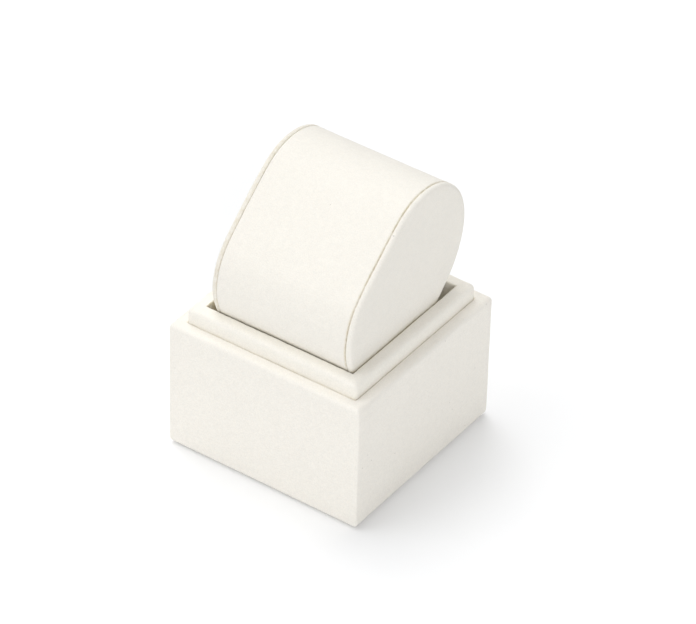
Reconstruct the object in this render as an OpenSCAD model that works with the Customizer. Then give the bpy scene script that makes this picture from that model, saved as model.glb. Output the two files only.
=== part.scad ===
// Jewelry holder: a square box covered in microsuede, with a raised collar round
// a shallow well, and a tilted oval pillow standing loose in the well.
// Front is -Y, right is +X, and the origin is the centre of the underside.

/* [Base] */
// Width of the covered base, left to right
base_w = 75; // [60:0.5:110]
// Depth of the covered base, front to back
base_d = 75; // [60:0.5:110]
// Height of the ledge above the table
base_h = 48.8; // [36:0.2:80]
// Rounding of the base's upper and lower edges, over the cloth
base_round = 1.5; // [1.1:0.1:2.4]

/* [Boards and cloth] */
// Thickness of the four wall boards
wall_t = 2.6; // [1.5:0.1:5]
// Corner radius of the wall boards' upright edges, under the cloth
wall_corner = 0.2; // [0.1:0.1:1]
// Thickness of the floor board
floor_t = 2.5; // [1.5:0.1:6]
// Thickness of the four collar boards
collar_t = 3.2; // [2:0.1:6]
// Corner radius of the collar boards' upright edges, under the cloth
collar_corner = 0.5; // [0.1:0.1:1]
// Thickness of the board under the well's lining
well_board_t = 2; // [1:0.1:4]
// Thickness of the microsuede
cloth_t = 0.7; // [0.4:0.05:1]
// Thickness of the sheet glued to the underside
sheet_t = 0.6; // [0.3:0.1:2]
// How far the underside sheet stops short of the base's edge
sheet_inset = 2; // [1:0.5:8]
// Corner radius of the underside sheet
sheet_round = 2; // [1:0.5:8]
// Width of the cloth turned under the base
turn_under = 12; // [4:0.5:20]
// Depth of the cloth turned down inside the rim
turn_in = 14; // [5:0.5:24]

/* [Collar and well] */
// Height of the collar above the ledge
collar_rise = 5.8; // [2:0.1:15]
// Rounding of the collar's outer top edges, over the cloth
collar_round = 1.6; // [1.1:0.1:3]
// Gap between the collar's cloth and the rim's cloth
collar_gap = 0.2; // [0.1:0.05:1]
// Depth of cloth on the collar's outer face, below the ledge
collar_skirt = 12; // [4:0.5:24]
// Depth of the well below the collar's top
well_depth = 11.8; // [6:0.1:24]
// Length of the collar's inner cloth that runs on below the well's floor
collar_tuck = 5; // [3:0.5:10]
// Gap round the well's floor and the block below it
well_fit = 0.2; // [0.1:0.05:1]

/* [Pillow] */
// How much longer the oval is than the well is deep
pillow_overhang = 12.2; // [4:0.2:20]
// Thickness of the oval, across its long axis
pillow_thick = 51.2; // [40:0.2:60]
// Tilt of the oval's long axis, rising to the back
pillow_tilt = 41.1; // [28:0.1:45]
// Squareness of the oval, where 2 is an ellipse
pillow_square = 2.12; // [2:0.01:2.6]
// How far the oval's long front is flattened, in from its widest
front_flat = 2.5; // [0.5:0.1:4]
// Softness of the flat's two ends
flat_ease = 1.2; // [0.4:0.1:2]
// How far the flat foot is cut above the oval's lowest point
foot_cut = 1.9; // [0.5:0.1:4]
// How far the foot's flat runs back beyond the oval's own lowest point
foot_heel = 16; // [8:0.5:20]
// Gap between the pillow and the well's right side
pillow_gap_right = 0.3; // [0.1:0.1:2]
// Gap between the pillow and the well's left side
pillow_gap_left = 2.5; // [0.2:0.1:6]
// Gap between the pillow and the collar's front edge
pillow_gap_front = 0.2; // [0.1:0.1:1]
// Thickness of the pillow's end boards
end_board_t = 1.3; // [0.8:0.1:3]
// Rounding of the pillow's end rims, over the cloth
end_round = 1.4; // [0.8:0.1:2]

/* [Hidden] */

cream = [0.95, 0.93, 0.89];
board_brown = [0.70, 0.58, 0.43];
card_grey = [0.62, 0.60, 0.56];
foam_white = [0.90, 0.90, 0.86];

// Sides of a round corner's full circle, and points on the oval
edge_sides = 48;
oval_points = 96;
// Steps of the rounding at the pillow's end rims
rim_steps = 4;
// Reach of a cut past the face that it opens
past = 1;

// Heights, from the table up
cover_z = sheet_t;
board_z = cover_z + cloth_t;
floor_top = board_z + floor_t;
wall_top = base_h - cloth_t;
collar_top = base_h + collar_rise;
well_z = collar_top - well_depth;
lining_z = well_z - cloth_t - well_board_t;

// Outer faces of the wall boards, and inner faces
wall_w = base_w - 2 * cloth_t;
wall_d = base_d - 2 * cloth_t;
room_w = wall_w - 2 * wall_t;
room_d = wall_d - 2 * wall_t;
// Opening inside the cloth of the rim
rim_w = room_w - 2 * cloth_t;
rim_d = room_d - 2 * cloth_t;
// Collar, from its outer cloth in to the well
collar_w = rim_w - 2 * collar_gap;
collar_d = rim_d - 2 * collar_gap;
strip_w = collar_w - 2 * cloth_t;
strip_d = collar_d - 2 * cloth_t;
strip_in_w = strip_w - 2 * collar_t;
strip_in_d = strip_d - 2 * collar_t;
well_w = strip_in_w - 2 * cloth_t;
well_d = strip_in_d - 2 * cloth_t;
plug_w = well_w - 2 * well_fit;
plug_d = well_d - 2 * well_fit;

// Pillow, along its length and across it
end_t = end_board_t + cloth_t;
pillow_right = well_w / 2 - pillow_gap_right;
pillow_left = -well_w / 2 + pillow_gap_left;
seam_right = pillow_right - end_t;
seam_left = pillow_left + end_t;
oval_a = (well_d + pillow_overhang) / 2;
oval_b = pillow_thick / 2;

// One coordinate of a superellipse, with its sign kept
function swell(v) = sign(v) * pow(abs(v), 2 / pillow_square);
// A height across the oval, held back softly at the flat of its front
function flatten(v) =
    v > 0 ? -flat_ease * ln(exp(-v / flat_ease) + exp((front_flat - oval_b) / flat_ease)) : v;
// A point of the tilted oval about its own centre
function oval_at(t) =
    let (u = oval_a * swell(cos(t)), v = flatten(oval_b * swell(sin(t))))
    [u * cos(pillow_tilt) - v * sin(pillow_tilt), u * sin(pillow_tilt) + v * cos(pillow_tilt)];
oval = [for (i = [0 : oval_points - 1]) oval_at(i * 360 / oval_points)];
// The point after point i, round the oval
function oval_next(i) = oval[(i + 1) % oval_points];
// How far forward the oval reaches at or below a height
function reach_below(h) = min([
    for (i = [0 : oval_points - 1])
        let (p = oval[i], q = oval_next(i))
        p[1] <= h ? p[0]
        : q[1] < h ? p[0] + (h - p[1]) / (q[1] - p[1]) * (q[0] - p[0])
        : oval_a
]);
oval_low = min([for (p = oval) p[1]]);
oval_low_y = [for (p = oval) if (p[1] == oval_low) p[0]][0];

// The oval's centre: its foot stands in the well, its front meets the collar's edge
pillow_z = well_z - oval_low - foot_cut;
pillow_y = -well_d / 2 + pillow_gap_front - reach_below(collar_top - pillow_z);
heel_y = pillow_y + oval_low_y + foot_heel;

// A block with rounded edges, standing from z0 to z1: its three outlines crossed
module soft_block(w, d, z0, z1, r, corner) {
    mid = (z0 + z1) / 2;
    intersection() {
        translate([0, 0, z0])
            linear_extrude(z1 - z0)
                round_rectangle(w, d, corner);
        translate([0, d / 2, mid])
            rotate([90, 0, 0])
                linear_extrude(d)
                    round_rectangle(w, z1 - z0, r);
        translate([-w / 2, 0, mid])
            rotate([90, 0, 90])
                linear_extrude(w)
                    round_rectangle(d, z1 - z0, r);
    }
}

// A plain block, centred across and standing from z0 to z1
module block(w, d, z0, z1) {
    translate([-w / 2, -d / 2, z0])
        cube([w, d, z1 - z0]);
}

// A rectangle with round corners
module round_rectangle(w, d, r) {
    square([w - 2 * r, d], center = true);
    square([w, d - 2 * r], center = true);
    for (x = [-1, 1], y = [-1, 1])
        translate([x * (w / 2 - r), y * (d / 2 - r)])
            circle(r = r, $fn = edge_sides);
}

// The boards' outer form under the base's cloth
module base_form() {
    soft_block(wall_w, wall_d, board_z, wall_top, base_round - cloth_t, wall_corner);
}

// The collar boards' outer form under their cloth, run down past the floor board
module collar_form() {
    soft_block(
        strip_w, strip_d, floor_top - 2 * collar_round, collar_top - cloth_t,
        collar_round - cloth_t, collar_corner
    );
}

// The pillow's section as (y, z), drawn smaller by inset all round
module pillow_section(inset = 0) {
    offset(delta = -inset)
        hull() {
            intersection() {
                translate([pillow_y, pillow_z])
                    polygon(oval);
                translate([-base_d, well_z])
                    square([2 * base_d, 2 * collar_top]);
            }
            translate([heel_y - cloth_t, well_z])
                square([cloth_t, cloth_t / 10]);
        }
}

// A length of the pillow's section, between two places along X
module pillow_run(x0, x1, inset = 0) {
    translate([x0, 0, 0])
        rotate([90, 0, 90])
            linear_extrude(x1 - x0)
                pillow_section(inset);
}

// Underside
module underside_sheet() {
    color(cream)
        linear_extrude(sheet_t)
            round_rectangle(base_w - 2 * sheet_inset, base_d - 2 * sheet_inset, sheet_round);
}

// Floor board, between the four walls
module floor_board() {
    color(board_brown)
        block(room_w, room_d, board_z, floor_top);
}

// Front and back wall boards, across the full width
module cross_wall(side) {
    color(board_brown)
        intersection() {
            translate([0, side * (room_d + wall_t) / 2, 0])
                block(base_w, wall_t, board_z, wall_top);
            base_form();
        }
}
module front_wall() { cross_wall(-1); }
module back_wall() { cross_wall(1); }

// Left and right wall boards, between the front and the back
module side_wall(side) {
    color(board_brown)
        intersection() {
            translate([side * (room_w + wall_t) / 2, 0, 0])
                block(wall_t, room_d, board_z, wall_top);
            base_form();
        }
}
module left_wall() { side_wall(-1); }
module right_wall() { side_wall(1); }

// Cloth over the base: outside, over the rim and down inside, and turned under
module base_cover() {
    color(cream)
        difference() {
            soft_block(base_w, base_d, cover_z, base_h, base_round, wall_corner + cloth_t);
            difference() {
                base_form();
                block(room_w, room_d, wall_top - turn_in, base_h);
            }
            block(rim_w, rim_d, wall_top - turn_in - past, base_h + past);
            block(base_w - 2 * turn_under, base_d - 2 * turn_under, -past, board_z + past);
        }
}

// Front and back collar boards, across the collar's full width
module collar_cross(side) {
    color(board_brown)
        intersection() {
            translate([0, side * (strip_in_d + collar_t) / 2, 0])
                block(base_w, collar_t, floor_top, collar_top);
            collar_form();
        }
}
module collar_front() { collar_cross(-1); }
module collar_back() { collar_cross(1); }

// Left and right collar boards, between the front and the back
module collar_side(side) {
    color(board_brown)
        intersection() {
            translate([side * (strip_in_w + collar_t) / 2, 0, 0])
                block(collar_t, strip_in_d, floor_top, collar_top);
            collar_form();
        }
}
module collar_left() { collar_side(-1); }
module collar_right() { collar_side(1); }

// Cloth over the collar: outside, over the top and down into the well
module collar_cover() {
    color(cream)
        difference() {
            intersection() {
                soft_block(collar_w, collar_d, floor_top, collar_top, collar_round, collar_corner + cloth_t);
                block(base_w, base_d, min(base_h - collar_skirt, well_z - collar_tuck), collar_top + past);
            }
            difference() {
                collar_form();
                block(strip_in_w, strip_in_d, floor_top, collar_top);
            }
            block(well_w, well_d, floor_top, collar_top + past);
        }
}

// Foam block that carries the well's floor
module riser_block() {
    color(foam_white)
        block(plug_w, plug_d, floor_top, lining_z);
}

// Board of the well's floor
module well_board() {
    color(card_grey)
        block(plug_w - 2 * cloth_t, plug_d - 2 * cloth_t, lining_z, well_z - cloth_t);
}

// Cloth over the well's floor, turned down round its board
module well_lining() {
    color(cream)
        difference() {
            block(plug_w, plug_d, lining_z, well_z);
            block(plug_w - 2 * cloth_t, plug_d - 2 * cloth_t, lining_z - past, well_z - cloth_t);
        }
}

// Foam core of the pillow
module pillow_core() {
    color(foam_white)
        pillow_run(seam_left, seam_right, cloth_t);
}

// Cloth wrapped round the core, from seam to seam
module pillow_wrap() {
    color(cream)
        difference() {
            pillow_run(seam_left, seam_right);
            pillow_run(seam_left - past, seam_right + past, cloth_t);
        }
}

// Board at one end of the pillow, laid against the core
module end_board(x0) {
    color(card_grey)
        pillow_run(x0, x0 + end_board_t, cloth_t);
}
module pillow_left_board() { end_board(seam_left - end_board_t); }
module pillow_right_board() { end_board(seam_right); }

// Cloth over one end board, with a rolled rim; side is -1 for the left end
module end_cover(side, seam) {
    color(cream)
        difference() {
            hull()
                for (i = [0 : rim_steps]) {
                    turn = 90 * i / rim_steps;
                    out = end_t - end_round * (1 - sin(turn));
                    x = seam + side * out;
                    pillow_run(min(seam, x), max(seam, x), end_round * (1 - cos(turn)));
                }
            pillow_run(
                seam - (side < 0 ? end_board_t : past),
                seam + (side < 0 ? past : end_board_t),
                cloth_t
            );
        }
}
module pillow_left_cover() { end_cover(-1, seam_left); }
module pillow_right_cover() { end_cover(1, seam_right); }

underside_sheet();
floor_board();
front_wall();
back_wall();
left_wall();
right_wall();
base_cover();
collar_front();
collar_back();
collar_left();
collar_right();
collar_cover();
riser_block();
well_board();
well_lining();
pillow_core();
pillow_wrap();
pillow_left_board();
pillow_right_board();
pillow_left_cover();
pillow_right_cover();
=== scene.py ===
import math
import bmesh
import bpy
from mathutils import Matrix, Vector, geometry, noise


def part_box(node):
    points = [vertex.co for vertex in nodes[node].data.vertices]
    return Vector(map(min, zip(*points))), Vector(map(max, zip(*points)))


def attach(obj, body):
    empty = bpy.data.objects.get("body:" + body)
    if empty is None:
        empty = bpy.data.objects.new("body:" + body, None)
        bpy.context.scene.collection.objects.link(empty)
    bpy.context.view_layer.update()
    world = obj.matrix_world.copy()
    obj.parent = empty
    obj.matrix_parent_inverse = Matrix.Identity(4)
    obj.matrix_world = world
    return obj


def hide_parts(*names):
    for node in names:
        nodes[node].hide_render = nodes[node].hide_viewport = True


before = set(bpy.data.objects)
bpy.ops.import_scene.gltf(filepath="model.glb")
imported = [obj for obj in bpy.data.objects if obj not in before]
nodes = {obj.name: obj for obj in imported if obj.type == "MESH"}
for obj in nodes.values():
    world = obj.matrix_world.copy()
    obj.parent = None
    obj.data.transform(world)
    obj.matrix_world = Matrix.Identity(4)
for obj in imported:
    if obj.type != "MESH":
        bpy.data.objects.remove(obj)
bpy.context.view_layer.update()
mm = 0.001


# Scene and node helpers

def addObject(name, data):
    thing = bpy.data.objects.new(name, data)
    bpy.context.scene.collection.objects.link(thing)
    return thing


def emptyTree(owner):
    owner.use_nodes = True
    owner.node_tree.nodes.clear()
    return owner.node_tree


def addNode(tree, kind, settings=None, **inputs):
    node = tree.nodes.new(kind)
    for key, value in (settings or {}).items():
        setattr(node, key, value)
    for key, value in inputs.items():
        socket = node.inputs[key.replace("_", " ")]
        if isinstance(value, bpy.types.NodeSocket):
            tree.links.new(value, socket)
        else:
            socket.default_value = value
    return node


def calculate(tree, operation, *values, kind="ShaderNodeMath"):
    node = tree.nodes.new(kind)
    node.operation = operation
    for index, value in enumerate(values):
        if isinstance(value, bpy.types.NodeSocket):
            tree.links.new(value, node.inputs[index])
        else:
            node.inputs[index].default_value = value
    return node.outputs[0]


def onVectors(tree, operation, *values):
    return calculate(tree, operation, *values, kind="ShaderNodeVectorMath")


def towards(azimuth, elevation):
    # the direction of a place round the object, in degrees round to the right of the front, and up
    turn, lift = math.radians(azimuth), math.radians(elevation)
    level = math.cos(lift)
    return Vector((math.sin(turn) * level, -math.cos(turn) * level, math.sin(lift)))


# Camera

photoView = {
    "azimuth": 34.592,  # degrees round to the right of the front
    "elevation": 37.625,
    "roll": 1.581,
    "distance": 1.53954,
    "aimRight": 0.00636,  # from the origin to the view's centre, in the camera's directions
    "aimUp": 0.03798,
    "lens": 242.01,
    "sensor": 36.0,
    "nearest": 0.05,
    "farthest": 20,
}


def makeCamera(s):
    turn = math.radians(s["azimuth"])
    roll = math.radians(s["roll"])
    back = towards(s["azimuth"], s["elevation"])
    levelRight = Vector((math.cos(turn), math.sin(turn), 0))
    levelUp = back.cross(levelRight)
    right = levelRight * math.cos(roll) + levelUp * math.sin(roll)
    up = levelUp * math.cos(roll) - levelRight * math.sin(roll)
    place = back * s["distance"] + right * s["aimRight"] + up * s["aimUp"]
    data = bpy.data.cameras.new("photoCamera")
    data.lens = s["lens"]
    data.sensor_width = s["sensor"]
    data.clip_start = s["nearest"]
    data.clip_end = s["farthest"]
    camera = addObject("photoCamera", data)
    stance = Matrix((right, up, back)).transposed().to_4x4()
    camera.matrix_world = Matrix.Translation(place) @ stance
    bpy.context.scene.camera = camera


makeCamera(photoView)
print("camera placed")


# Light and floor

studio = {
    "white": (1, 1, 1, 1),
    "worldLight": 0.4,
    "seenLight": 1,  # how bright the world looks behind the floor's edge
    "lampSpread": 40,  # degrees across, for soft shadow edges
    "lamps": {  # azimuth runs round to the right of the front, as the camera's does
        "backWindow": {"azimuth": 225, "elevation": 68, "strength": 0.58},
        "leftWindow": {"azimuth": 270, "elevation": 68, "strength": 0.60},
        "backSky": {"azimuth": 225, "elevation": 45, "strength": 0.44},
        "leftSky": {"azimuth": 315, "elevation": 45, "strength": 0.56},
        "frontCard": {"azimuth": 45, "elevation": 22, "strength": 0.99},
    },
    "floorSide": 6.0,
    "floorColour": (0.905, 0.91, 0.919),
    "floorLift": 0.08,  # white added for the camera's own rays, under which the shadow still shows
}


def seenMask(tree):
    # one where a ray comes straight from the camera, or off or through something polished
    path = tree.nodes.new("ShaderNodeLightPath")
    mask = path.outputs["Is Camera Ray"]
    for other in ("Is Glossy Ray", "Is Transmission Ray"):
        mask = calculate(tree, "MAXIMUM", mask, path.outputs[other])
    return mask


def makeWorld(s):
    world = bpy.data.worlds.new("whiteStudio")
    bpy.context.scene.world = world
    tree = emptyTree(world)
    lighting = addNode(tree, "ShaderNodeBackground", Color=s["white"], Strength=s["worldLight"])
    seen = addNode(tree, "ShaderNodeBackground", Color=s["white"], Strength=s["seenLight"])
    mix = tree.nodes.new("ShaderNodeMixShader")
    for index, source in enumerate((seenMask(tree), lighting.outputs[0], seen.outputs[0])):
        tree.links.new(source, mix.inputs[index])
    addNode(tree, "ShaderNodeOutputWorld", Surface=mix.outputs[0])


def makeLamps(s):
    for name, lamp in s["lamps"].items():
        data = bpy.data.lights.new(name, "SUN")
        data.energy = lamp["strength"]
        data.angle = math.radians(s["lampSpread"])
        sun = addObject(name, data)
        sun.rotation_mode = "QUATERNION"
        sunwards = towards(lamp["azimuth"], lamp["elevation"])
        sun.rotation_quaternion = sunwards.to_track_quat("Z", "Y")


def makeFloor(s):
    material = bpy.data.materials.new("paleFloor")
    tree = emptyTree(material)
    card = addNode(tree, "ShaderNodeBsdfDiffuse", Color=(*s["floorColour"], 1))
    strength = calculate(tree, "MULTIPLY", seenMask(tree), s["floorLift"])
    lift = addNode(tree, "ShaderNodeEmission", Strength=strength)
    both = tree.nodes.new("ShaderNodeAddShader")
    tree.links.new(card.outputs[0], both.inputs[0])
    tree.links.new(lift.outputs[0], both.inputs[1])
    addNode(tree, "ShaderNodeOutputMaterial", Surface=both.outputs[0])
    bm = bmesh.new()
    bmesh.ops.create_grid(bm, x_segments=1, y_segments=1, size=s["floorSide"] / 2)
    mesh = bpy.data.meshes.new("floor")
    bm.to_mesh(mesh)
    bm.free()
    mesh.materials.append(material)
    floor = addObject("floor", mesh)


makeWorld(studio)
makeLamps(studio)
makeFloor(studio)
bpy.context.scene.view_settings.view_transform = "Standard"
print("light and floor made")


# Materials

suede = {
    "baseCloth": {
        "colour": (0.90, 0.869, 0.804), "mottle": 0.021, "grain": 0.056, "relief": 0.5,
    },
    "collarCloth": {
        "colour": (0.912, 0.882, 0.811), "mottle": 0.021, "grain": 0.056, "relief": 0.5,
    },
    "pillowCloth": {
        "colour": (0.884, 0.855, 0.790), "mottle": 0.023, "grain": 0.05, "relief": 0.45,
    },
    "undersideCloth": {
        "colour": (0.87, 0.841, 0.778), "mottle": 0.02, "grain": 0.05, "relief": 0.5,
    },
}
nap = {
    "brushedScale": 85.0,  # broad strokes left by the brush
    "brushedSwing": 0.8,
    "mottledScale": 620.0,
    "mottledSwing": 3.0,
    "mottledHeight": 0.35,
    "mottledRoughness": 0.1,
    "grainScale": 2600.0,
    "grainSwing": 3.0,
    "warmthScale": 1500.0,  # where single fibres turn a little warmer or colder
    "warmthSwing": 0.5,
    "fibreScale": 400.0,  # cells in which a stray dark fibre may lie
    "fibreShare": 0.015,  # share of the cells that hold one
    "fibreSize": 0.09,
    "fibreShade": 0.25,
    "shadeUnevenness": 4.0,  # how unevenly the tan painted shade lies, with the mottling
    "shadeLoss": (-0.26, -0.31, -0.44),  # red, green and blue taken away where tan shade is painted in full
    "roughness": 0.88,
    "specular": 0.12,
    "sheen": 0.1,
    "sheenRoughness": 0.5,
    "pile": 0.12 * mm,
}
inner = {
    "fibreboard": {
        "texture": "ShaderNodeTexNoise", "output": "Fac", "scale": 900.0,
        "light": (0.46, 0.31, 0.18), "dark": (0.30, 0.19, 0.10), "rough": 0.85,
    },
    "greyboard": {
        "texture": "ShaderNodeTexNoise", "output": "Fac", "scale": 1400.0,
        "light": (0.34, 0.32, 0.29), "dark": (0.22, 0.21, 0.20), "rough": 0.95,
    },
    "foam": {
        "texture": "ShaderNodeTexVoronoi", "output": "Distance", "scale": 1300.0,
        "light": (0.80, 0.78, 0.70), "dark": (0.62, 0.60, 0.53), "rough": 1.0,
    },
}
mottling = {
    "darkTo": 0.3,  # of the texture's height, from 0 to 1
    "lightFrom": 0.6,
    "relief": 0.4,
    "depth": 0.15 * mm,
}


def swing(tree, fac, amount):
    # a noise value turned about zero, and scaled to swing by roughly the amount
    return calculate(tree, "MULTIPLY", calculate(tree, "SUBTRACT", fac, 0.5), amount)


def noiseAt(tree, place, scale, detail):
    texture = addNode(tree, "ShaderNodeTexNoise", Vector=place, Scale=scale, Detail=detail)
    return texture.outputs["Fac"]


def makeNapGroup(s):
    # brushed nap of microsuede: soft mottling, a fine grain and a few stray dark fibres,
    # and tan painted shade in creases, seams and along contact lines, by a per-point amount
    group = bpy.data.node_groups.new("suedeNap", "ShaderNodeTree")
    sockets = {
        "INPUT": {
            "Vector": "Vector", "Colour": "Color",
            "Mottle": "Float", "Grain": "Float", "Fold": "Float",
        },
        "OUTPUT": {"Colour": "Color", "Height": "Float", "Roughness": "Float"},
    }
    for side, kinds in sockets.items():
        for name, kind in kinds.items():
            group.interface.new_socket(name=name, in_out=side, socket_type="NodeSocket" + kind)
    given = group.nodes.new("NodeGroupInput").outputs
    place = given["Vector"]
    brushed = noiseAt(group, place, s["brushedScale"], 2)
    mottled = noiseAt(group, place, s["mottledScale"], 3)
    grained = noiseAt(group, place, s["grainScale"], 1)
    warmed = noiseAt(group, place, s["warmthScale"], 1)

    strokes = swing(group, brushed, s["brushedSwing"])
    patches = calculate(group, "ADD", strokes, swing(group, mottled, s["mottledSwing"]))
    soft = calculate(group, "MULTIPLY", patches, given["Mottle"])
    sharp = calculate(group, "MULTIPLY", swing(group, grained, s["grainSwing"]), given["Grain"])
    tone = calculate(group, "ADD", calculate(group, "ADD", soft, sharp), 1.0)

    dots = addNode(group, "ShaderNodeTexVoronoi", Vector=place, Scale=s["fibreScale"])
    drawn = addNode(group, "ShaderNodeSeparateColor", Color=dots.outputs["Color"])
    rare = calculate(group, "GREATER_THAN", drawn.outputs["Red"], 1 - s["fibreShare"])
    near = calculate(group, "LESS_THAN", dots.outputs["Distance"], s["fibreSize"])
    speck = calculate(group, "MULTIPLY", calculate(group, "MULTIPLY", rare, near), s["fibreShade"])
    tone = calculate(group, "SUBTRACT", tone, speck)

    warmth = calculate(group, "MULTIPLY", swing(group, warmed, s["warmthSwing"]), given["Grain"])
    tint = onVectors(group, "MULTIPLY_ADD", warmth, (1, 0, -1), (1, 1, 1))
    # tan painted shade in creases and along contact lines, uneven with the mottling
    uneven = calculate(group, "MULTIPLY_ADD", mottled, s["shadeUnevenness"], 1 - s["shadeUnevenness"] / 2)
    shadeAmount = calculate(group, "MINIMUM", calculate(group, "MULTIPLY", given["Fold"], uneven), 1.0)
    shadeTint = onVectors(group, "MULTIPLY_ADD", shadeAmount, s["shadeLoss"], (1, 1, 1))

    shade = onVectors(group, "MULTIPLY", given["Colour"], tint)
    shade = onVectors(group, "MULTIPLY", shade, shadeTint)
    shade = onVectors(group, "MULTIPLY", shade, tone)
    height = calculate(group, "MULTIPLY_ADD", mottled, s["mottledHeight"], grained)
    rough = calculate(group, "MULTIPLY_ADD", mottled, s["mottledRoughness"], s["roughness"])
    addNode(group, "NodeGroupOutput", Colour=shade, Height=height, Roughness=rough)
    return group


def newMaterial(name):
    material = bpy.data.materials.new(name)
    material.use_nodes = True
    tree = material.node_tree
    place = tree.nodes.new("ShaderNodeTexCoord").outputs["Object"]
    return material, tree, tree.nodes["Principled BSDF"], place


def makeSuede(name, s, group, cloth):
    material, tree, shader, place = newMaterial(name)
    # the per-point amount of tan painted shade, set where each piece is built
    paintedShade = addNode(tree, "ShaderNodeAttribute", {"attribute_name": "paintedShade"}).outputs["Fac"]
    brushed = addNode(
        tree, "ShaderNodeGroup", {"node_tree": group}, Vector=place, Colour=(*s["colour"], 1),
        Mottle=s["mottle"], Grain=s["grain"], Fold=paintedShade,
    )
    height = brushed.outputs["Height"]
    bump = addNode(
        tree, "ShaderNodeBump", Height=height, Strength=s["relief"], Distance=cloth["pile"],
    )
    tree.links.new(brushed.outputs["Colour"], shader.inputs["Base Color"])
    tree.links.new(brushed.outputs["Roughness"], shader.inputs["Roughness"])
    tree.links.new(bump.outputs["Normal"], shader.inputs["Normal"])
    shader.inputs["Specular IOR Level"].default_value = cloth["specular"]
    shader.inputs["Sheen Weight"].default_value = cloth["sheen"]
    shader.inputs["Sheen Roughness"].default_value = cloth["sheenRoughness"]
    return material


def makeMottled(name, s, tones):
    # board or foam: two tones laid over a texture, and its height as relief
    material, tree, shader, place = newMaterial(name)
    pattern = addNode(tree, s["texture"], Vector=place, Scale=s["scale"]).outputs[s["output"]]
    ramp = addNode(tree, "ShaderNodeValToRGB", Fac=pattern)
    dark, light = ramp.color_ramp.elements
    dark.position, dark.color = tones["darkTo"], (*s["dark"], 1)
    light.position, light.color = tones["lightFrom"], (*s["light"], 1)
    bump = addNode(
        tree, "ShaderNodeBump", Height=pattern, Strength=tones["relief"], Distance=tones["depth"],
    )
    tree.links.new(ramp.outputs["Color"], shader.inputs["Base Color"])
    tree.links.new(bump.outputs["Normal"], shader.inputs["Normal"])
    shader.inputs["Roughness"].default_value = s["rough"]
    return material


napGroup = makeNapGroup(nap)
materials = {name: makeSuede(name, s, napGroup, nap) for name, s in suede.items()}
materials.update({name: makeMottled(name, s, mottling) for name, s in inner.items()})
print("materials made")


# Mesh helpers

meshRules = {
    "facing": 0.99,  # least cosine between a face's normal and the direction it faces
    "sharp": 1,  # least angle between two faces, in radians
    "along": 0.9,  # least share of its length by which an edge runs along an axis
    "cutFrom": 1.5,  # steps that an edge is long before it is cut
    "cutAlike": 0.7,  # share of the longest edge from which all get the same number of cuts
    "same": 1e-6,  # metres between places that count as one
    "seedStep": (7.3, 3.1, 5.7),  # how far apart the noise is read from seed to seed
}


def boxBetween(low, high):
    bm = bmesh.new()
    bmesh.ops.create_cube(bm, size=1)
    bmesh.ops.scale(bm, vec=high - low, verts=bm.verts)
    bmesh.ops.translate(bm, vec=(low + high) / 2, verts=bm.verts)
    bm.normal_update()
    return bm


def facing(bm, direction):
    return [f for f in bm.faces if f.normal.dot(Vector(direction)) > meshRules["facing"]]


def moveNew(bm, made, move):
    verts = [g for g in made["geom"] if isinstance(g, bmesh.types.BMVert)]
    bmesh.ops.translate(bm, vec=move, verts=verts)


def turnDown(bm, face, depth):
    # opens a face and carries the cloth down from its edges
    edges = face.edges[:]
    bmesh.ops.delete(bm, geom=[face], context="FACES_ONLY")
    moveNew(bm, bmesh.ops.extrude_edge_only(bm, edges=edges), (0, 0, -depth))
    bmesh.ops.recalc_face_normals(bm, faces=bm.faces)


def sharpEdges(bm):
    inner = [e for e in bm.edges if len(e.link_faces) == 2]
    return [e for e in inner if e.calc_face_angle() > meshRules["sharp"]]


def reach(e):
    # how far out an edge comes, in x and in y
    return [max(abs(v.co[axis]) for v in e.verts) for axis in (0, 1)]


def extent(e, axis):
    return abs(e.verts[0].co[axis] - e.verts[1].co[axis])


def runsAlong(e, axis):
    return extent(e, axis) > meshRules["along"] * e.calc_length()


def roundEdges(bm, edges, radius, segments):
    bmesh.ops.bevel(
        bm, geom=edges, offset=radius, offset_type="OFFSET", segments=segments,
        profile=0.5, affect="EDGES", clamp_overlap=True, material=-1,
    )
    bm.normal_update()


def roundBoth(bm, edges, radius, cornerRadius, segments):
    # rounds level edges by one radius and upright ones by another, in one go so that they meet well
    bm.edges.index_update()
    chosen = [e.index for e in edges]
    weights = bm.edges.layers.float.new("bevel_weight_edge")
    bm.edges.ensure_lookup_table()
    widest = max(radius, cornerRadius)
    for e in (bm.edges[index] for index in chosen):
        e[weights] = (cornerRadius if runsAlong(e, 2) else radius) / widest
    mesh = bpy.data.meshes.new("rounding")
    bm.to_mesh(mesh)
    block = addObject("rounding", mesh)
    bevel = block.modifiers.new("rounding", "BEVEL")
    bevel.limit_method = "WEIGHT"
    bevel.width = widest
    bevel.segments = segments
    rounded = block.evaluated_get(bpy.context.evaluated_depsgraph_get())
    bm.clear()
    bm.from_mesh(rounded.data)
    bm.edges.layers.float.remove(bm.edges.layers.float["bevel_weight_edge"])
    bpy.data.objects.remove(block)
    bpy.data.meshes.remove(mesh)
    bm.normal_update()


def cutAlong(bm, axis, step):
    # cuts every edge that runs along the axis, so that the cloth has points enough to be worked on
    shortest = meshRules["cutFrom"] * step
    along = [e for e in bm.edges if runsAlong(e, axis) and extent(e, axis) > shortest]
    longest = max((extent(e, axis) for e in along), default=0)
    groups = {}
    for e in along:
        alike = extent(e, axis) > meshRules["cutAlike"] * longest
        span = longest if alike else extent(e, axis)
        groups.setdefault(round(span / step) - 1, []).append(e)
    for cuts, edges in groups.items():
        if cuts > 0:
            bmesh.ops.subdivide_edges(bm, edges=edges, cuts=cuts, use_grid_fill=True)


def cutAll(bm, step):
    for axis in range(3):
        cutAlong(bm, axis, step)


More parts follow.
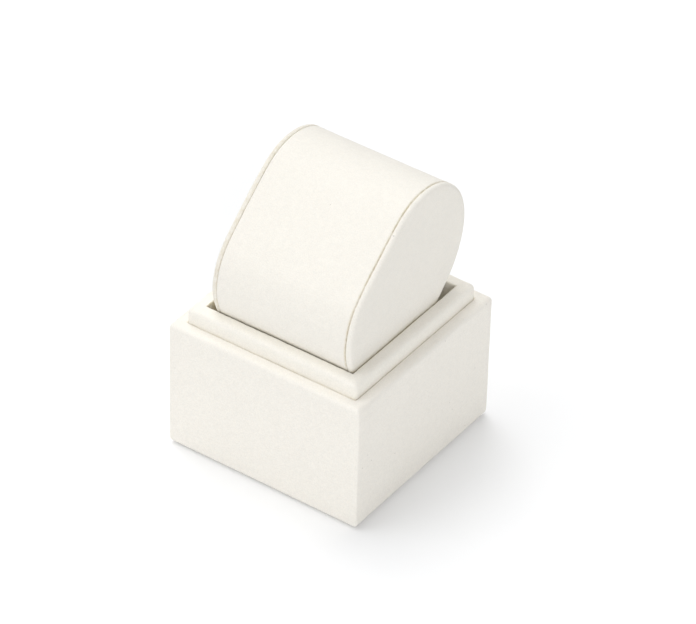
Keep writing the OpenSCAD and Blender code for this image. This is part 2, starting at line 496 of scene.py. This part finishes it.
def unsettle(bm, ripples):
    # moves each point a little along its normal, as cloth is never quite true
    for amount, wave, seed in ripples:
        bm.normal_update()
        away = Vector([seed * part for part in meshRules["seedStep"]])
        moves = [(v, v.normal * amount * noise.noise(v.co / wave + away)) for v in bm.verts]
        for v, move in moves:
            v.co += move


def markFolds(bm, depth):
    # how much tan painted shade each point takes, from 0 to 1
    paintedShade = bm.verts.layers.float.new("paintedShade")
    for v in bm.verts:
        v[paintedShade] = min(max(depth(v.co), 0), 1)


def addPiece(bm, name, material, replaced, thickness=None):
    mesh = bpy.data.meshes.new(name)
    bm.to_mesh(mesh)
    bm.free()
    mesh.materials.append(materials[material])
    mesh.shade_smooth()
    piece = addObject(name, mesh)
    if thickness:
        wall = piece.modifiers.new("clothThickness", "SOLIDIFY")
        wall.thickness = thickness
        wall.offset = -1
    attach(piece, "root")
    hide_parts(replaced)
    return piece


# Base cover: round the walls, over the rim and down inside it, and turned under

baseCloth = {
    "thickness": 0.6 * mm,
    "outerRound": 1.5 * mm,
    "cornerRound": 0.9 * mm,
    "rimRound": 0.3 * mm,
    "rimCorner": 1.3 * mm,
    "ledge": 4.16 * mm,  # from the outer face to the cloth inside the rim
    # tan painted shade in the crease where the cloth turns into the rim
    "rimShade": 0.25,
    "turnIn": 14.7 * mm,
    "turnUnder": 12 * mm,
    "step": 1.5 * mm,
    "ripples": [(0.05 * mm, 9 * mm, 1), (0.018 * mm, 2.5 * mm, 2)],  # amount, wave and seed of each
}


def makeBaseCover(s):
    low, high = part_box("base_cover")
    bm = boxBetween(low, high)
    bottom = facing(bm, (0, 0, -1))
    bmesh.ops.inset_region(bm, faces=bottom, thickness=s["turnUnder"], use_even_offset=True)
    bmesh.ops.delete(bm, geom=bottom, context="FACES")
    top = facing(bm, (0, 0, 1))
    bmesh.ops.inset_region(bm, faces=top, thickness=s["ledge"], use_even_offset=True)
    turnDown(bm, top[0], s["turnIn"])
    inside = high.x - s["ledge"] / 2
    outer = [e for e in sharpEdges(bm) if min(reach(e)) > inside]
    roundBoth(bm, outer, s["outerRound"], s["cornerRound"], segments=6)
    rim = [e for e in sharpEdges(bm) if max(reach(e)) < inside]
    roundBoth(bm, rim, s["rimRound"], s["rimCorner"], segments=5)
    cutAll(bm, s["step"])
    opening = high.x - s["ledge"]

    # painted shade, growing from the rim's round down into the opening
    def depth(p):
        return s["rimShade"] * (1 - (max(abs(p.x), abs(p.y)) - opening) / s["rimRound"])

    markFolds(bm, depth)
    unsettle(bm, s["ripples"])
    cover = addPiece(bm, "baseCover", "baseCloth", "base_cover", s["thickness"])


makeBaseCover(baseCloth)
print("base cover made")


# Collar cover: up the outside of the collar, over its top and down into the well

collarCloth = {
    "thickness": 0.6 * mm,
    "outerRound": 1.7 * mm,
    "cornerRound": 1.2 * mm,
    "innerRound": 0.5 * mm,
    "wall": 4.6 * mm,
    "step": 0.8 * mm,
    "endShade": 1.0,  # painted shade down the inner face, beside the pillow's ends
    "frontShade": 0.1,  # and along its front and back
    "footShade": 0.25,  # painted shade in the crease at the foot of the outer face
    "ripples": [(0.08 * mm, 6 * mm, 3), (0.07 * mm, 1.3 * mm, 4)],
}


def makeCollarCover(s):
    low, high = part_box("collar_cover")
    bm = boxBetween(low, high)
    bmesh.ops.delete(bm, geom=facing(bm, (0, 0, -1)), context="FACES")
    top = facing(bm, (0, 0, 1))
    bmesh.ops.inset_region(bm, faces=top, thickness=s["wall"], use_even_offset=True)
    turnDown(bm, top[0], high.z - low.z)
    inside = high.x - s["wall"] / 2
    outer = [e for e in sharpEdges(bm) if min(reach(e)) > inside]
    roundBoth(bm, outer, s["outerRound"], s["cornerRound"], segments=6)
    rim = [e for e in sharpEdges(bm) if max(reach(e)) < inside]
    roundEdges(bm, rim, s["innerRound"], segments=4)
    cutAll(bm, s["step"])
    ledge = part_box("base_cover")[1].z
    well = high.x - s["wall"]

    # painted shade in the crease at the ledge, and down the inner faces into the well
    def depth(p):
        out = max(abs(p.x), abs(p.y))
        if out > inside:
            return s["footShade"] * ((ledge - p.z) / s["step"] + 1)
        innerShade = s["endShade"] if abs(p.x) > abs(p.y) else s["frontShade"]
        return innerShade * (1 - (out - well) / s["innerRound"])

    markFolds(bm, depth)
    unsettle(bm, s["ripples"])
    cover = addPiece(bm, "collarCover", "collarCloth", "collar_cover", s["thickness"])


makeCollarCover(collarCloth)
print("collar cover made")


# Well lining and the foam under it

wellCloth = {
    "thickness": 0.6 * mm,
    "edgeRound": 0.6 * mm,
    "step": 2 * mm,
    "ripples": [(0.06 * mm, 5 * mm, 5)],
}
foamBlock = {"edgeRound": 0.8 * mm, "step": 3 * mm, "ripples": [(0.1 * mm, 4 * mm, 6)]}


def makeWellLining(s):
    low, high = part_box("well_lining")
    bm = boxBetween(low, high)
    bmesh.ops.delete(bm, geom=facing(bm, (0, 0, -1)), context="FACES")
    roundEdges(bm, sharpEdges(bm), s["edgeRound"], segments=3)
    cutAll(bm, s["step"])
    unsettle(bm, s["ripples"])
    lining = addPiece(bm, "wellLining", "baseCloth", "well_lining", s["thickness"])


def makeRiserBlock(s):
    low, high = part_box("riser_block")
    bm = boxBetween(low, high)
    roundEdges(bm, sharpEdges(bm), s["edgeRound"], segments=2)
    cutAll(bm, s["step"])
    unsettle(bm, s["ripples"])
    block = addPiece(bm, "riserBlock", "foam", "riser_block")


makeWellLining(wellCloth)
makeRiserBlock(foamBlock)
print("well made")


# Pillow: a foam oval wrapped in cloth from seam to seam, with a covered board at each end

pillow = {
    "long": 69.6 * mm,
    "thick": 51.2 * mm,
    "tilt": 41.1,
    "squareness": 2.12,
    "frontFlat": 2.5 * mm,  # how far the long front is flattened
    "frontEase": 1.2 * mm,
    "backFlat": 0.6 * mm,  # and its back, which is drawn a little tight
    "backEase": 0.8 * mm,
    "heel": 16 * mm,  # run of the flat foot behind the oval's lowest point
    "footRound": 4,  # passes that ease the foot's two corners
    "ovalPoints": 1440,
    "around": 288,
    "step": 1.6 * mm,
    "thickness": 0.6 * mm,
    "wrapRound": 0.68 * mm,
    "panelRound": 1.3 * mm,
    "panelBackRound": 0.6 * mm,
    "wrapFolds": (0, 0.5),  # tan painted shade in the left and the right seam
    # tan painted shade on the panels beside the left and the right seam
    "panelFolds": (0.3, 0.5),
    "panelFoldWidths": (1.5 * mm, 0.6 * mm),  # from the seam out over the panel's rim
    "panelFoldHold": 3,  # full depth over all but the last third of that width
    "contactShadeDepth": 0.6,  # painted shade down in the well, where the pillow meets the collar
    "contactShadeFade": 3.2 * mm,
    "tuck": 0.5 * mm,  # how far the left end is drawn in at its foot
    "tuckRise": 10 * mm,  # from the collar's top up to where it starts
    "tuckFade": 4,  # power by which it dies away towards the middle
    "slack": 0.12 * mm,  # how far inside its outline the cloth starts before it swells
    "slackFade": 8,  # power by which that dies away towards the seams
    "pressure": 3.0,
    "mostSwell": 0.34 * mm,
    "frames": 16,
    "clothQuality": 6,
    "clothMass": 0.2,
    "sewnMargin": 1.2 * mm,  # held still beside each seam while the cloth swells
    "coreGap": 1.44 * mm,  # from the wrap's outline in to the foam
    "panelTurned": 4 * mm,  # both edges of the panel's cloth together
    "panelSpare": 1.1,
    "wrapRipples": [(0.05 * mm, 8 * mm, 7)],
    "panelRipples": ([(0.06 * mm, 7 * mm, 7)], [(0.06 * mm, 7 * mm, 9)]),  # left and right
}


def ovalPoint(s, angle):
    # a point of the tilted oval about its centre, held back softly at its front and back
    def swell(value):
        return math.copysign(abs(value) ** (2 / s["squareness"]), value)

    along = s["long"] / 2 * swell(math.cos(angle))
    across = s["thick"] / 2 * swell(math.sin(angle))
    side = "front" if across > 0 else "back"
    ease, flat = s[side + "Ease"], s["thick"] / 2 - s[side + "Flat"]
    held = -ease * math.log(math.exp(-abs(across) / ease) + math.exp(-flat / ease))
    across = math.copysign(held, across)
    point = Vector((along, across))
    point.rotate(Matrix.Rotation(math.radians(s["tilt"]), 2))
    return point


def evenLoop(points, count):
    # the same closed outline, with its points at even steps
    ends = points[1:] + points[:1]
    lengths = [(b - a).length for a, b in zip(points, ends)]
    step = sum(lengths) / count
    loop = []
    passed = 0.0
    for a, b, length in zip(points, ends, lengths):
        while len(loop) < count and len(loop) * step < passed + length:
            loop.append(a.lerp(b, (len(loop) * step - passed) / length))
        passed += length
    return loop


def pillowOutline(s):
    # the pillow's section as (y, z): the oval cut flat at its foot, and drawn out to its heel
    low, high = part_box("pillow_left_cover")
    count = s["ovalPoints"]
    oval = [ovalPoint(s, math.radians(360 * i / count)) for i in range(count)]
    lowest = min(oval, key=lambda p: p.y)
    centre = Vector(((low.y + high.y) / 2, high.z - max(p.y for p in oval)))
    foot = low.z - centre.y
    cut = [p if p.y > foot else p * (foot / p.y) for p in oval]
    cut.append(Vector((lowest.x + s["heel"], foot)))
    hull = [cut[i] for i in geometry.convex_hull_2d(cut)]
    loop = evenLoop(hull, s["around"])
    for i in range(s["footRound"]):
        after = loop[1:] + loop[:1]
        loop = [p * 0.5 + (loop[n - 1] + after[n]) * 0.25 for n, p in enumerate(loop)]
    return [p + centre for p in loop]


def pillowBlock(outline, left, right):
    # a length of the pillow, closed at both ends
    bm = bmesh.new()
    ring = bmesh.ops.create_circle(bm, cap_ends=True, segments=len(outline), radius=1)["verts"]
    for vert, place in zip(ring, outline):
        vert.co = (left, place.x, place.y)
    moveNew(bm, bmesh.ops.extrude_face_region(bm, geom=bm.faces[:]), (right - left, 0, 0))
    bmesh.ops.recalc_face_normals(bm, faces=bm.faces)
    bm.normal_update()
    return bm


def edgesAt(bm, x):
    near = meshRules["same"]
    return [e for e in sharpEdges(bm) if all(abs(v.co.x - x) < near for v in e.verts)]


def swellCloth(bm, s, left, right):
    # blows the cloth out between its sewn ends with a cloth simulation, and limits how far it goes
    mesh = bpy.data.meshes.new("swelling")
    bm.to_mesh(mesh)
    cloth = addObject("swelling", mesh)
    sewn = cloth.vertex_groups.new(name="sewn")
    start, end = left + s["sewnMargin"], right - s["sewnMargin"]
    sewn.add([v.index for v in mesh.vertices if not start < v.co.x < end], 1, "REPLACE")
    sim = cloth.modifiers.new("swelling", "CLOTH")
    sim.settings.vertex_group_mass = "sewn"
    sim.settings.quality = s["clothQuality"]
    sim.settings.mass = s["clothMass"]
    sim.settings.use_pressure = True
    sim.settings.uniform_pressure_force = s["pressure"]
    sim.settings.effector_weights.gravity = 0
    sim.point_cache.frame_start = 1
    sim.point_cache.frame_end = s["frames"]
    for number in range(1, s["frames"] + 1):
        bpy.context.scene.frame_set(number)
    swollen = cloth.evaluated_get(bpy.context.evaluated_depsgraph_get())
    bm.verts.ensure_lookup_table()
    most = s["mostSwell"]
    moved = 0.0
    for vert, there in zip(bm.verts, swollen.data.vertices):
        move = there.co - vert.co
        moved = max(moved, move.length)
        if move.length > most:
            move = move * (most / move.length)
        vert.co += move
    bpy.context.scene.frame_set(1)
    bpy.data.objects.remove(cloth)
    bpy.data.meshes.remove(mesh)
    print("cloth swelled by", round(moved / mm, 2), "mm before its limit")


def makePillowCore(s, outline):
    low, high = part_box("pillow_core")
    bm = pillowBlock(outline, low.x, high.x)
    centre = Vector((0, sum(p.x for p in outline), sum(p.y for p in outline))) / len(outline)
    smaller = 1 - 2 * s["coreGap"] / s["thick"]
    scaling = Matrix.Diagonal((1, smaller, smaller, 1))
    bmesh.ops.transform(bm, matrix=scaling, space=Matrix.Translation(-centre), verts=bm.verts)
    core = addPiece(bm, "pillowCore", "foam", "pillow_core")


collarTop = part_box("collar_cover")[1].z


def paintedContactShade(s, p):
    # how much painted shade the pillow takes at the collar's top and below it
    return s["contactShadeDepth"] * min((collarTop - p.z) / s["contactShadeFade"] + 0.5, 1)


def tuckIn(bm, s):
    # draws the left end in at its foot, and the cloth beside it less and less
    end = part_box("pillow_wrap")[0].x
    for v in bm.verts:
        down = min(max(1 - (v.co.z - collarTop) / s["tuckRise"], 0), 1)
        beside = min(max(v.co.x / end, 0), 1)
        v.co.x += s["tuck"] * down * down * (3 - 2 * down) * beside ** s["tuckFade"]


def makePillowWrap(s, outline):
    low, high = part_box("pillow_wrap")
    bm = pillowBlock(outline, low.x, high.x)
    roundEdges(bm, edgesAt(bm, low.x) + edgesAt(bm, high.x), s["wrapRound"], segments=5)
    bmesh.ops.delete(bm, geom=facing(bm, (1, 0, 0)) + facing(bm, (-1, 0, 0)), context="FACES")
    cutAlong(bm, 0, s["step"])
    bm.normal_update()
    middle = (low.x + high.x) / 2
    half = (high.x - low.x) / 2
    draw = []
    for v in bm.verts:
        share = 1 - (abs(v.co.x - middle) / half) ** s["slackFade"]
        draw.append((v, v.normal * s["slack"] * share))
    for v, move in draw:
        v.co -= move
    swellCloth(bm, s, low.x, high.x)
    leftSeamShade, rightSeamShade = s["wrapFolds"]

    # painted shade in each seam, and along the contact with the collar
    def depth(p):
        leftFold = leftSeamShade * (1 - (p.x - low.x) / s["wrapRound"])
        rightFold = rightSeamShade * (1 - (high.x - p.x) / s["wrapRound"])
        return max(leftFold, rightFold, paintedContactShade(s, p))

    markFolds(bm, depth)
    tuckIn(bm, s)
    unsettle(bm, s["wrapRipples"])
    wrap = addPiece(bm, "pillowWrap", "pillowCloth", "pillow_wrap", s["thickness"])


def makePillowPanel(s, outline, name, node, side):
    low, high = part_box(node)
    seam, face = (low.x, high.x) if side > 0 else (high.x, low.x)
    bm = pillowBlock(outline, low.x, high.x)
    roundEdges(bm, edgesAt(bm, face), s["panelRound"], segments=7)
    roundEdges(bm, edgesAt(bm, seam), s["panelBackRound"], segments=4)
    bmesh.ops.delete(bm, geom=facing(bm, (-side, 0, 0)), context="FACES")
    for axis in (1, 2):
        across = Vector((0, 0, 0))
        across[axis] = 1
        count = round((high[axis] - low[axis]) / (2 * s["step"]))
        for i in range(1, count):
            flat = facing(bm, (side, 0, 0))
            point = low.lerp(high, i / count)
            parts = {g for f in flat for g in (f, *f.edges, *f.verts)}
            bmesh.ops.bisect_plane(bm, geom=list(parts), dist=1e-7, plane_co=point, plane_no=across)
    seamShadeDepth, width = s["panelFolds"][side > 0], s["panelFoldWidths"][side > 0]

    # painted shade beside the seam, and along the contact with the collar
    def depth(p):
        seamFold = seamShadeDepth * min(s["panelFoldHold"] * (1 - abs(p.x - seam) / width), 1)
        return max(seamFold, paintedContactShade(s, p))

    markFolds(bm, depth)
    tuckIn(bm, s)
    unsettle(bm, s["panelRipples"][side > 0])
    panel = addPiece(bm, name, "pillowCloth", node, s["thickness"])


section = pillowOutline(pillow)
makePillowCore(pillow, section)
makePillowWrap(pillow, section)
makePillowPanel(pillow, section, "pillowLeftPanel", "pillow_left_cover", -1)
makePillowPanel(pillow, section, "pillowRightPanel", "pillow_right_cover", 1)
print("pillow made")


# Finishes of the boards and the sheet, which keep their own shapes

finishes = {
    "fibreboard": [
        "floor_board", "front_wall", "back_wall", "left_wall", "right_wall",
        "collar_front", "collar_back", "collar_left", "collar_right",
    ],
    "greyboard": ["well_board", "pillow_left_board", "pillow_right_board"],
    "undersideCloth": ["underside_sheet"],
}
for material, names in finishes.items():
    for name in names:
        for place in nodes[name].material_slots:
            place.material = materials[material]
print("boards finished")
